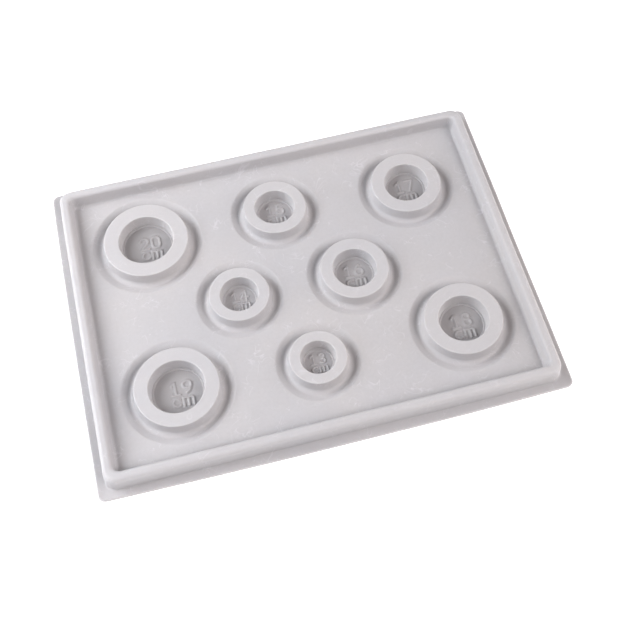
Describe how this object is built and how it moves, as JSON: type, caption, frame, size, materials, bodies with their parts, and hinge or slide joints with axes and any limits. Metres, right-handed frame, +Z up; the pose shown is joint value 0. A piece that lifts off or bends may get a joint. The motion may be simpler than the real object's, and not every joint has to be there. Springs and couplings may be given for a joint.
{
  "type": "resin casting mould",
  "caption": "Shallow flanged silicone tray with rounded rim and ring-shaped cores, for casting a board that sizes bracelets and beads.",
  "frame": {"origin": "centre of the flat underside", "axes": "+X along the length, +Y along the width towards the back as the size marks read, +Z up"},
  "size_m": [0.345, 0.26, 0.016],
  "materials": {
    "silicone": "satin translucent milky silicone, pale grey",
    "silicone_marks": "satin translucent milky silicone, pale grey, raised in the well floor"
  },
  "bodies": {
    "root": {"mould_body": "silicone", "size_mark_13": "silicone_marks", "size_mark_14": "silicone_marks", "size_mark_15": "silicone_marks", "size_mark_16": "silicone_marks", "size_mark_17": "silicone_marks", "size_mark_18": "silicone_marks", "size_mark_19": "silicone_marks", "size_mark_20": "silicone_marks"}
  },
  "joints": []
}
